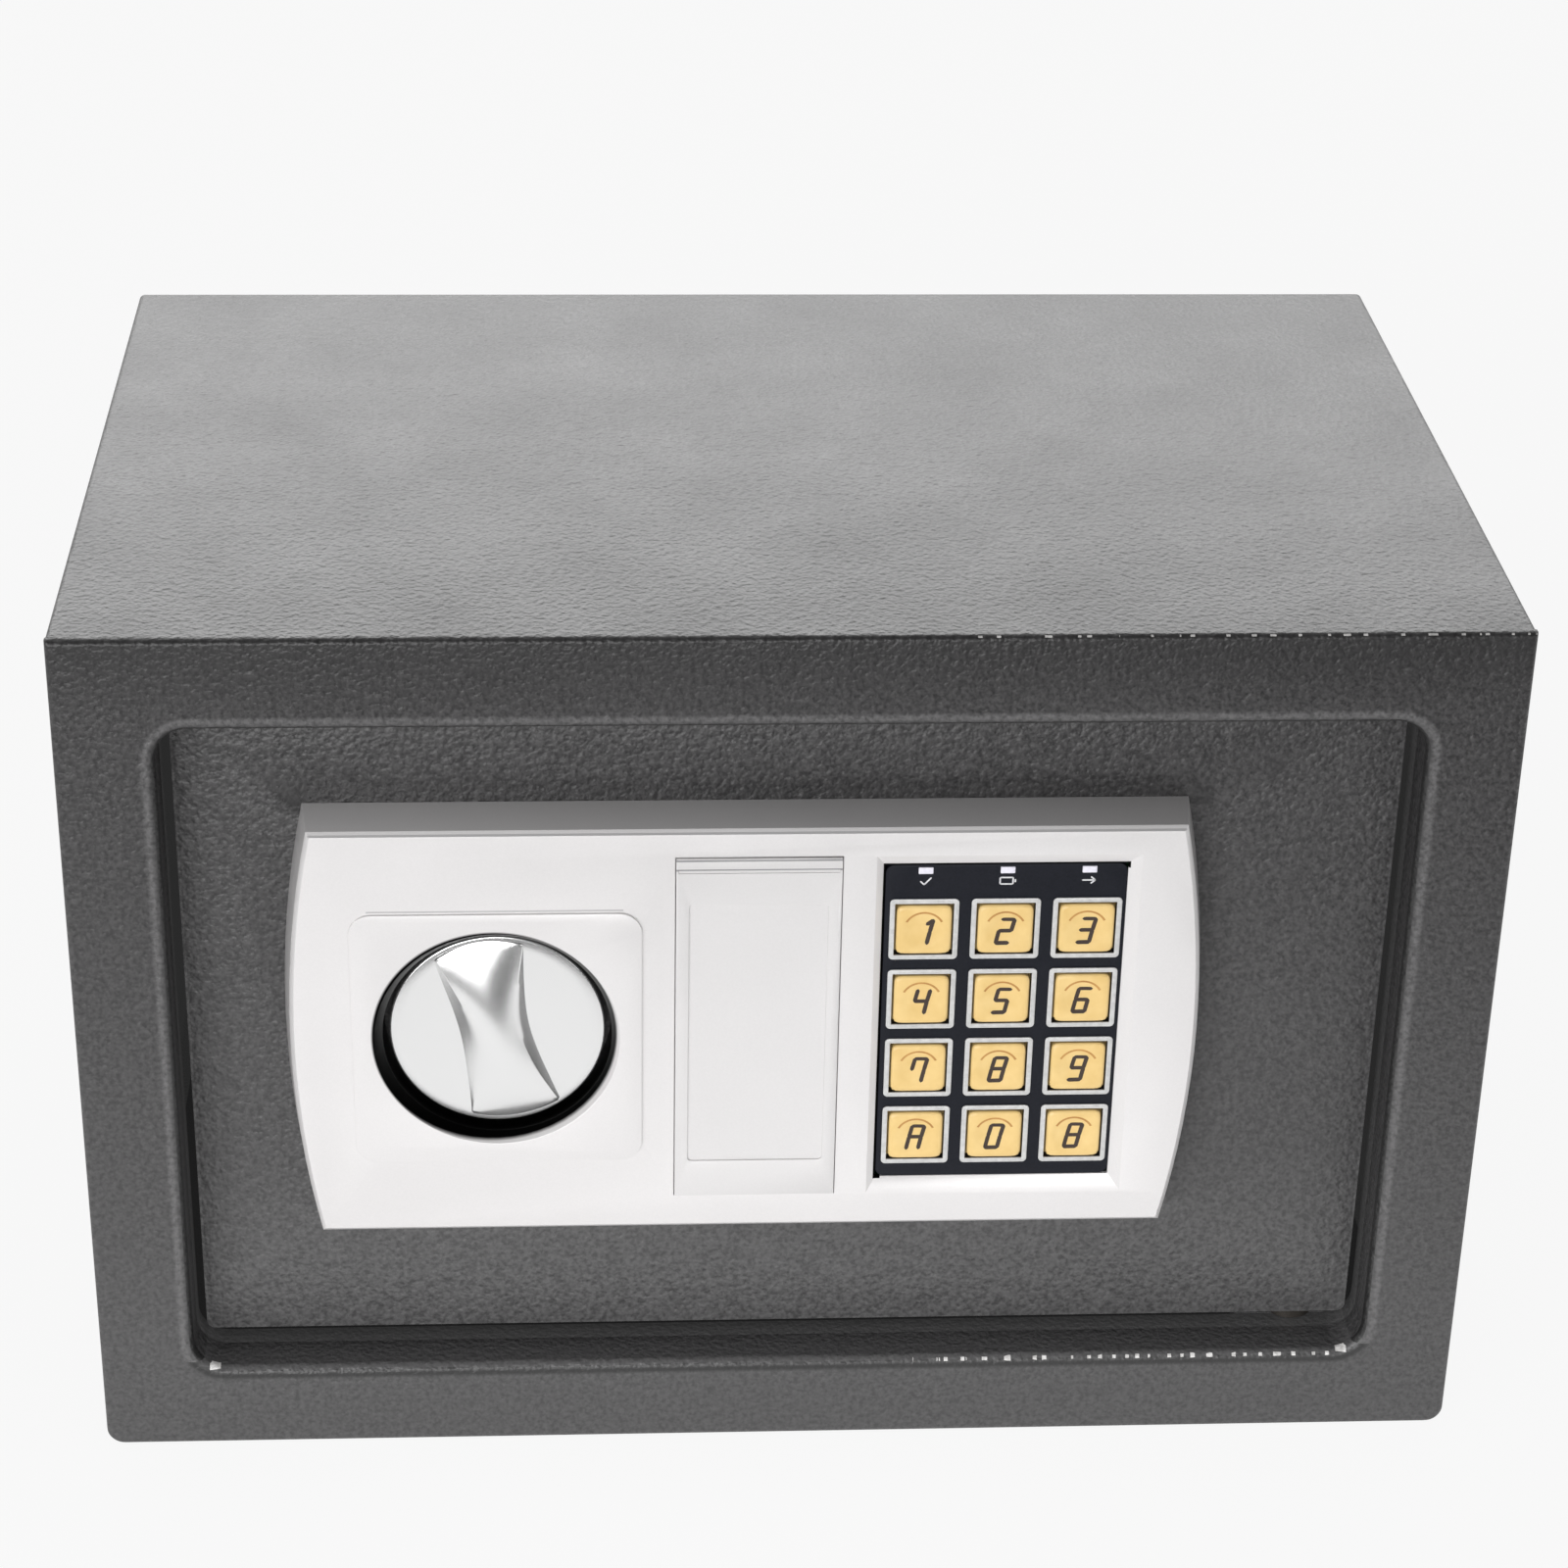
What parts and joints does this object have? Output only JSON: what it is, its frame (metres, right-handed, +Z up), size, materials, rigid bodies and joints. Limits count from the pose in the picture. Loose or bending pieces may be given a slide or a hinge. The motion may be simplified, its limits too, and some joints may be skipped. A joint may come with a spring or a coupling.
{
  "type": "electronic safe",
  "caption": "Small steel safe with a recessed side-hinged door, silver front panel, turn knob driving side bolts, pull-off cover over an emergency key lock, and an amber keypad.",
  "frame": {"origin": "centre of the base on the surface it stands on", "axes": "+X to the right seen from the front, +Y to the back, +Z up; the front face looks along -Y"},
  "size_m": [0.31, 0.2, 0.205],
  "materials": {
    "painted_steel": "hammered grey paint",
    "silver_plastic": "satin silver",
    "black_plastic": "matt",
    "amber_plastic": "gloss",
    "light_frame": "satin",
    "lens": "clear",
    "plated_steel": "zinc plated",
    "brass": "turned",
    "copper": "wound wire",
    "felt": "felt",
    "board": "solder resist",
    "cell": "printed sleeve",
    "red_plastic": "gloss"
  },
  "bodies": {
    "body": {"body_wrap": "painted_steel", "top_plate": "painted_steel", "back_plate": "painted_steel", "front_frame": "painted_steel", "hinge_lugs": "painted_steel", "floor_mat": "felt"},
    "door": {"door_plate": "painted_steel", "hinge_blocks": "painted_steel", "hinge_pins": "plated_steel", "hinge_washers": "brass", "fascia": "silver_plastic", "fascia_screws": "plated_steel", "shaft_bushing": "brass", "bolt_guide": "plated_steel", "guide_pins": "plated_steel", "solenoid_frame": "plated_steel", "solenoid_coil": "copper", "emergency_lock_housing": "plated_steel", "lock_nut": "plated_steel", "keypad_plate": "black_plastic", "key_frames": "light_frame", "indicator_lights": "lens", "keypad_board": "board", "contact_domes": "plated_steel", "control_board": "board", "board_spacers": "lens", "battery_holder": "black_plastic", "battery_contacts": "plated_steel", "batteries": "cell", "inner_cover": "painted_steel", "cover_posts": "plated_steel", "cover_screws": "plated_steel"},
    "turn_knob": {"knob": "silver_plastic", "knob_shaft": "plated_steel", "shaft_clip": "plated_steel", "knob_crank": "plated_steel"},
    "boltwork": {"bolt_carriage": "plated_steel", "locking_bolts": "plated_steel"},
    "plunger": {"solenoid_plunger": "plated_steel"},
    "middle_cover": {"lock_cover": "silver_plastic"},
    "key_plug": {"emergency_lock_plug": "brass", "emergency_lock_cam": "plated_steel"},
    "battery_lid": {"battery_cover": "black_plastic"},
    "reset": {"reset_button": "red_plastic"},
    "key_1": {"key_1": "amber_plastic"},
    "key_2": {"key_2": "amber_plastic"},
    "key_3": {"key_3": "amber_plastic"},
    "key_4": {"key_4": "amber_plastic"},
    "key_5": {"key_5": "amber_plastic"},
    "key_6": {"key_6": "amber_plastic"},
    "key_7": {"key_7": "amber_plastic"},
    "key_8": {"key_8": "amber_plastic"},
    "key_9": {"key_9": "amber_plastic"},
    "key_a": {"key_a": "amber_plastic"},
    "key_0": {"key_0": "amber_plastic"},
    "key_b": {"key_b": "amber_plastic"}
  },
  "joints": [
    {"name": "door_hinge", "type": "hinge", "parent": "body", "child": "door", "pos_m": [0.12, -0.0815, 0.1025], "axis": [0, 0, 1], "range_deg": [0, 100]},
    {"name": "knob_turn", "type": "hinge", "parent": "door", "child": "turn_knob", "pos_m": [-0.0639, -0.09, 0.1078], "axis": [0, -1, 0], "range_deg": [0, 90]},
    {"name": "bolt_slide", "type": "slide", "parent": "door", "child": "boltwork", "axis": [-1, 0, 0], "range_m": [0, 0.01414]},
    {"name": "plunger_lift", "type": "slide", "parent": "door", "child": "plunger", "axis": [0, 0, 1], "range_m": [0, 0.005]},
    {"name": "middle_cover_pull", "type": "slide", "parent": "door", "child": "middle_cover", "axis": [0, -1, 0], "range_m": [0, 0.03]},
    {"name": "emergency_key_turn", "type": "hinge", "parent": "door", "child": "key_plug", "pos_m": [-0.0073, -0.08, 0.1085], "axis": [0, -1, 0], "range_deg": [0, 90]},
    {"name": "battery_lid_pull", "type": "slide", "parent": "door", "child": "battery_lid", "axis": [0, 1, 0], "range_m": [0, 0.03]},
    {"name": "reset_press", "type": "slide", "parent": "door", "child": "reset", "axis": [0, -1, 0], "range_m": [0, 0.0015], "stiffness_N_per_m": 400, "springref_m": -0.0005},
    {"name": "key_1_press", "type": "slide", "parent": "door", "child": "key_1", "axis": [0, 1, 0], "range_m": [0, 0.0006], "stiffness_N_per_m": 500, "springref_m": -0.0003},
    {"name": "key_2_press", "type": "slide", "parent": "door", "child": "key_2", "axis": [0, 1, 0], "range_m": [0, 0.0006], "stiffness_N_per_m": 500, "springref_m": -0.0003},
    {"name": "key_3_press", "type": "slide", "parent": "door", "child": "key_3", "axis": [0, 1, 0], "range_m": [0, 0.0006], "stiffness_N_per_m": 500, "springref_m": -0.0003},
    {"name": "key_4_press", "type": "slide", "parent": "door", "child": "key_4", "axis": [0, 1, 0], "range_m": [0, 0.0006], "stiffness_N_per_m": 500, "springref_m": -0.0003},
    {"name": "key_5_press", "type": "slide", "parent": "door", "child": "key_5", "axis": [0, 1, 0], "range_m": [0, 0.0006], "stiffness_N_per_m": 500, "springref_m": -0.0003},
    {"name": "key_6_press", "type": "slide", "parent": "door", "child": "key_6", "axis": [0, 1, 0], "range_m": [0, 0.0006], "stiffness_N_per_m": 500, "springref_m": -0.0003},
    {"name": "key_7_press", "type": "slide", "parent": "door", "child": "key_7", "axis": [0, 1, 0], "range_m": [0, 0.0006], "stiffness_N_per_m": 500, "springref_m": -0.0003},
    {"name": "key_8_press", "type": "slide", "parent": "door", "child": "key_8", "axis": [0, 1, 0], "range_m": [0, 0.0006], "stiffness_N_per_m": 500, "springref_m": -0.0003},
    {"name": "key_9_press", "type": "slide", "parent": "door", "child": "key_9", "axis": [0, 1, 0], "range_m": [0, 0.0006], "stiffness_N_per_m": 500, "springref_m": -0.0003},
    {"name": "key_a_press", "type": "slide", "parent": "door", "child": "key_a", "axis": [0, 1, 0], "range_m": [0, 0.0006], "stiffness_N_per_m": 500, "springref_m": -0.0003},
    {"name": "key_0_press", "type": "slide", "parent": "door", "child": "key_0", "axis": [0, 1, 0], "range_m": [0, 0.0006], "stiffness_N_per_m": 500, "springref_m": -0.0003},
    {"name": "key_b_press", "type": "slide", "parent": "door", "child": "key_b", "axis": [0, 1, 0], "range_m": [0, 0.0006], "stiffness_N_per_m": 500, "springref_m": -0.0003}
  ],
  "couplings": [
    {"joint": "knob_turn", "follows": "bolt_slide", "rad_per_m": 111.08}
  ]
}
